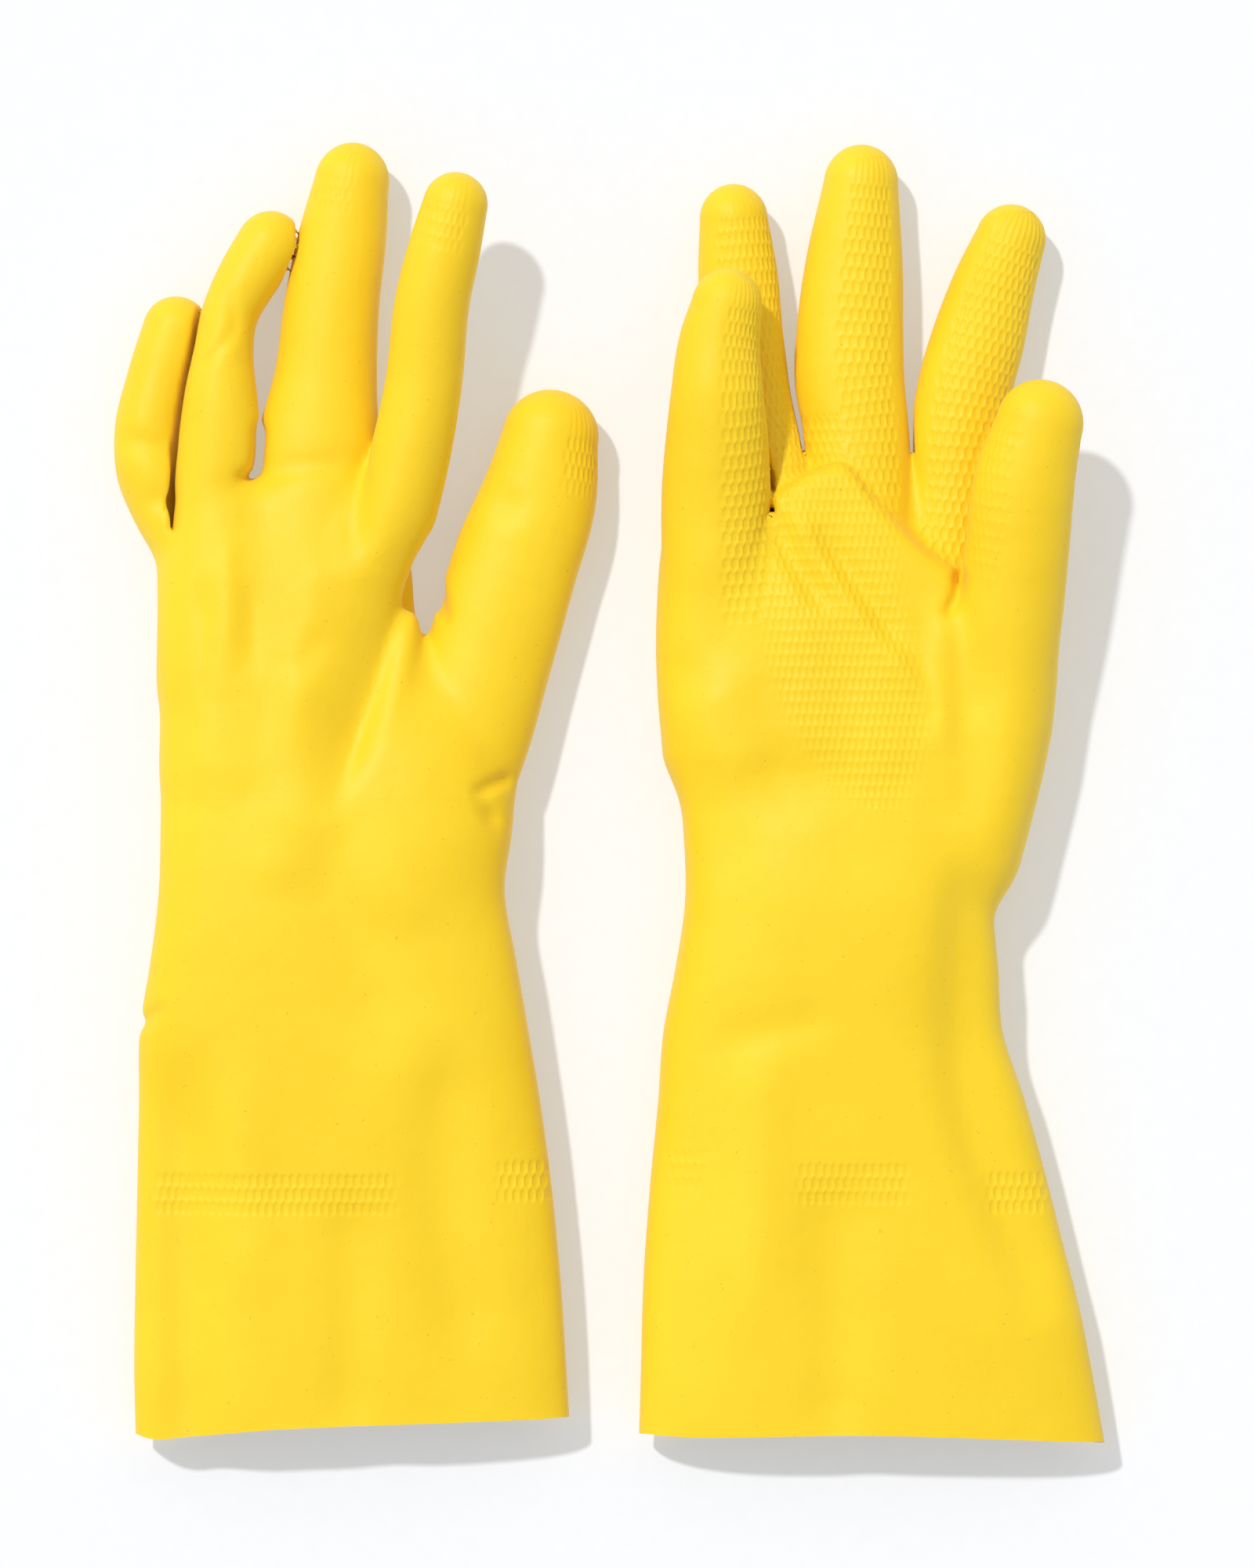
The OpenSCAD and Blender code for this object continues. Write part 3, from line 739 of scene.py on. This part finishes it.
def shell(outer, outer_faces, inner, inner_quads, chains, outer_normals, inner_normals):
    """A closed shell: the outer and the inner surface, and a rim along each chain of boundary
    points, given as (points along the outer edge, points along the inner edge)."""
    points, normals, faces = [], [], []
    for source, source_faces, source_normals, flip in (
            (outer, outer_faces, outer_normals, False), (inner, inner_quads, inner_normals, True)):
        start = sum(len(block) for block in points)
        flat = np.fromiter((i for face in source_faces for i in face), int)
        used, renamed = np.unique(flat, return_inverse=True)
        points.append(source[used])
        normals.append(-source_normals[used] if flip else source_normals[used])
        at = 0
        for face in source_faces:
            ring = (renamed[at:at + len(face)] + start).tolist()
            faces.append(ring[::-1] if flip else ring)
            at += len(face)
    for near_edge, far_edge in chains:
        start = sum(len(block) for block in points)
        ring = np.vstack([outer[near_edge], inner[far_edge]])
        normal = np.cross(outer[near_edge[-1]] - outer[near_edge[0]],
                          outer_normals[near_edge[0]])
        normal /= np.linalg.norm(normal) + 1e-12
        points.append(ring)
        normals.append(np.repeat(normal[None], len(ring), axis=0))
        faces.append(list(range(start, start + len(ring)))[::-1])
    return np.vstack(points), faces, np.vstack(normals)


def rim_chains(quads, places, extra, mine):
    """For each boundary edge of the quads `mine`: its points in order, and its two ends back."""
    count = np.bincount(places[mine].ravel(), minlength=len(extra))
    chains = []
    for q in np.flatnonzero(mine):
        for k in range(4):
            if count[places[q, k]] == 1:
                a, b = quads[q, k], quads[q, (k + 1) % 4]
                chains.append(([a, *edge_line(extra[places[q, k]], a, b), b], [b, a]))
    return chains


def build_glove(side, latex, flock):
    """One glove as closed pieces: 12 of latex, cut from one surface, and 2 of flock inside."""
    glove = Glove(side)
    coarse, quads = glove_quads(glove)
    centres = coarse[quads].mean(1)
    normals = point_normals(coarse, quads)
    label = piece_of(glove, centres)
    textured = grip_depth(glove, coarse, normals) > 0
    middle_depth = grip_depth(glove, centres, normals[quads].mean(1))
    chosen = textured[quads].any(1) | (middle_depth > 0)
    points, small, source, extra, places = refined(coarse, quads, chosen)
    points[len(coarse):] = glove.settle(points[len(coarse):])
    plain = np.flatnonzero(~chosen)
    meets = (extra[places[plain], 0] >= 0).any(1)
    everything = np.vstack([small, quads[plain]])
    smooth = point_normals(points, everything)
    depth = grip_depth(glove, points, smooth)
    points = points - smooth * depth[:, None]
    smooth = point_normals(points, everything)
    inner = coarse - normals * LATEX_WALL

    pieces = {}
    for k, name in enumerate(PIECES):
        mine = label == k
        faces = small[mine[source]].tolist() + quads[plain[mine[plain] & ~meets]].tolist()
        for q in plain[mine[plain] & meets]:
            ring = []
            for c in range(4):
                a, b = quads[q, c], quads[q, (c + 1) % 4]
                ring += [a, *edge_line(extra[places[q, c]], a, b)]
            faces.append(ring)
        made = shell(points, faces, inner, quads[mine].tolist(),
                     rim_chains(quads, places, extra, mine), smooth, normals)
        pieces[name] = make_object(f"{side}_{name}_skin", *made, latex)
    no_extra = np.full((len(extra), REFINE - 1), -1)
    for name in ("cuff", "hand"):
        mine = label == PIECES.index(name)
        inset = LATEX_WALL + FLOCK_GAP
        if name == "cuff":
            mine &= centres[:, 1] > cuff_cut(glove, centres) + LINING_SET_BACK
        outside, inside = coarse - normals * inset, coarse - normals * (inset + FLOCK_WALL)
        made = shell(outside, quads[mine].tolist(), inside, quads[mine].tolist(),
                     rim_chains(quads, places, no_extra, mine), normals, normals)
        pieces[name + "_lining"] = make_object(f"{side}_{name}_flock", *made, flock)
    return glove, pieces


def attach(side, glove, pieces):
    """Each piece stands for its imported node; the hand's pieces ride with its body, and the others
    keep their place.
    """
    middle = (cad_low.x + cad_high.x) / 2 / MM
    for name in ("cuff", "cuff_lining"):
        start, stop = ((middle, y, WRIST_LEVEL) for y in WRIST_BEND)
        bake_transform(pieces[name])
    for name in ("hand", "hand_lining"):
        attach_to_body(pieces[name], f"{side}_hand")
    for digit in DIGITS:
        tube = glove.tubes[digit]
        places = [bend_plane(tube, y) * MM for y in tube.bends]
        for part, (start, stop) in (("base", places[:2]), ("tip", places[2:])):
            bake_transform(pieces[f"{digit}_{part}"])
    for name, piece in pieces.items():
        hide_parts(f"{side}_{name}")


# ---------------------------------------------------------------- materials

def new_material(name):
    material = bpy.data.materials.new(name)
    material.use_nodes = True
    return material, material.node_tree.nodes, material.node_tree.links


def noise(nodes, links, scale, detail=3.0, rough=0.5):
    """A noise texture in object space; scale is in features per metre."""
    coords = nodes.new("ShaderNodeTexCoord")
    texture = nodes.new("ShaderNodeTexNoise")
    texture.inputs["Scale"].default_value = scale
    texture.inputs["Detail"].default_value = detail
    texture.inputs["Roughness"].default_value = rough
    links.new(coords.outputs["Object"], texture.inputs["Vector"])
    return texture.outputs["Fac"]


def ramp(nodes, links, value, low, high, out_low, out_high):
    node = nodes.new("ShaderNodeMapRange")
    node.inputs["From Min"].default_value = low
    node.inputs["From Max"].default_value = high
    node.inputs["To Min"].default_value = out_low
    node.inputs["To Max"].default_value = out_high
    links.new(value, node.inputs["Value"])
    return node.outputs["Result"]


def mix(nodes, links, factor, a, b):
    node = nodes.new("ShaderNodeMix")
    node.data_type = "RGBA"
    links.new(factor, node.inputs["Factor"])
    for value, socket in ((a, node.inputs["A"]), (b, node.inputs["B"])):
        if isinstance(value, tuple):
            socket.default_value = (*value, 1)
        else:
            links.new(value, socket)
    return node.outputs["Result"]


def bump(nodes, links, height, distance, below=None):
    node = nodes.new("ShaderNodeBump")
    node.inputs["Distance"].default_value = distance
    node.inputs["Strength"].default_value = 1.0
    links.new(height, node.inputs["Height"])
    if below is not None:
        links.new(below, node.inputs["Normal"])
    return node.outputs["Normal"]


def latex_material():
    """Dipped yellow latex: satin, faintly cloudy in colour and gloss, with a very fine grain."""
    material, nodes, links = new_material("yellow_latex")
    shader = nodes["Principled BSDF"]
    clouds = noise(nodes, links, 28, 2)
    colour = mix(nodes, links, ramp(nodes, links, clouds, 0.3, 0.7, 0, 1),
                 (0.915, 0.600, 0.008), (0.950, 0.645, 0.014))
    specks = noise(nodes, links, 900, 1)
    colour = mix(nodes, links, ramp(nodes, links, specks, 0.745, 0.79, 0, 0.5),
                 colour, (0.62, 0.36, 0.03))
    links.new(colour, shader.inputs["Base Color"])
    patches = noise(nodes, links, 60, 3)
    links.new(ramp(nodes, links, patches, 0.3, 0.7, 0.50, 0.60), shader.inputs["Roughness"])
    grain = noise(nodes, links, 2600, 2, 0.6)
    ripple = noise(nodes, links, 140, 2)
    links.new(bump(nodes, links, grain, 0.00002, bump(nodes, links, ripple, 0.00022)),
              shader.inputs["Normal"])
    shader.inputs["Specular IOR Level"].default_value = 0.36
    shader.inputs["Subsurface Weight"].default_value = 0.12
    shader.inputs["Subsurface Radius"].default_value = (1.0, 0.55, 0.06)
    shader.inputs["Subsurface Scale"].default_value = 0.0018
    shader.inputs["Sheen Weight"].default_value = 0.08
    return material


def flock_material():
    """Cotton flock: pale, matt and fuzzy."""
    material, nodes, links = new_material("cotton_flock")
    shader = nodes["Principled BSDF"]
    tufts = noise(nodes, links, 1800, 4, 0.7)
    colour = mix(nodes, links, ramp(nodes, links, tufts, 0.3, 0.7, 0, 1),
                 (0.80, 0.60, 0.14), (0.94, 0.80, 0.34))
    links.new(colour, shader.inputs["Base Color"])
    links.new(bump(nodes, links, tufts, 0.0003), shader.inputs["Normal"])
    shader.inputs["Roughness"].default_value = 0.95
    shader.inputs["Sheen Weight"].default_value = 0.5
    return material


# The light that the paper gives by itself, like a lit table, keeps the yellow out of its shadows.
FLOOR_GLOW = 0.33


def floor_material():
    material, nodes, links = new_material("white_paper")
    shader = nodes["Principled BSDF"]
    fibres = noise(nodes, links, 220, 3)
    colour = mix(nodes, links, fibres, (0.56, 0.565, 0.58), (0.59, 0.595, 0.61))
    links.new(colour, shader.inputs["Base Color"])
    shader.inputs["Roughness"].default_value = 0.9
    shader.inputs["Specular IOR Level"].default_value = 0.1
    shader.inputs["Emission Color"].default_value = (0.94, 0.97, 1.0, 1)
    shader.inputs["Emission Strength"].default_value = FLOOR_GLOW
    return material


# ---------------------------------------------------------------- stage

LIGHT_AHEAD = (0.63, -0.78)         # the way that the light travels, seen from above
LIGHT_ELEVATION = math.radians(55)
SUN_STRENGTH = 2.15
SKY_STRENGTH = 0.60
PICTURE_HEIGHT_MM = 376.0           # what the 2000 pixels of the picture's height span
PICTURE_CENTRE_MM = (4.7, 1.7)
CAMERA_HEIGHT_MM = 1600.0
FOCUS_LEVEL_MM = 15.0               # the level at which that span holds
SENSOR_MM = 36.0


def build_stage():
    bpy.ops.mesh.primitive_plane_add(size=6, location=(0, 0, 0))
    floor = bpy.context.object
    floor.name = "floor"
    floor.data.materials.append(floor_material())

    sun = bpy.data.lights.new("sun", "SUN")
    sun.energy = SUN_STRENGTH
    sun.angle = math.radians(3.0)
    lamp = bpy.data.objects.new("sun", sun)
    ahead = np.array([*np.array(LIGHT_AHEAD) / np.hypot(*LIGHT_AHEAD) * math.cos(LIGHT_ELEVATION),
                      -math.sin(LIGHT_ELEVATION)])
    lamp.rotation_mode = "QUATERNION"
    lamp.rotation_quaternion = Vector(ahead).to_track_quat("-Z", "Y")
    bpy.context.scene.collection.objects.link(lamp)

    world = bpy.data.worlds.new("sky")
    world.use_nodes = True
    world.node_tree.nodes["Background"].inputs["Color"].default_value = (1, 1, 1, 1)
    world.node_tree.nodes["Background"].inputs["Strength"].default_value = SKY_STRENGTH
    bpy.context.scene.world = world

    camera = bpy.data.cameras.new("camera")
    camera.sensor_width = SENSOR_MM
    camera.lens = SENSOR_MM * (CAMERA_HEIGHT_MM - FOCUS_LEVEL_MM) / PICTURE_HEIGHT_MM
    camera.clip_start, camera.clip_end = 0.1, 10
    holder = bpy.data.objects.new("camera", camera)
    holder.location = [v * MM for v in (*PICTURE_CENTRE_MM, CAMERA_HEIGHT_MM)]
    bpy.context.scene.collection.objects.link(holder)
    bpy.context.scene.camera = holder
    bpy.context.scene.view_settings.view_transform = "Standard"


latex = latex_material()
flock = flock_material()
for side in SIDES:
    glove, pieces = build_glove(side, latex, flock)
    attach(side, glove, pieces)
build_stage()
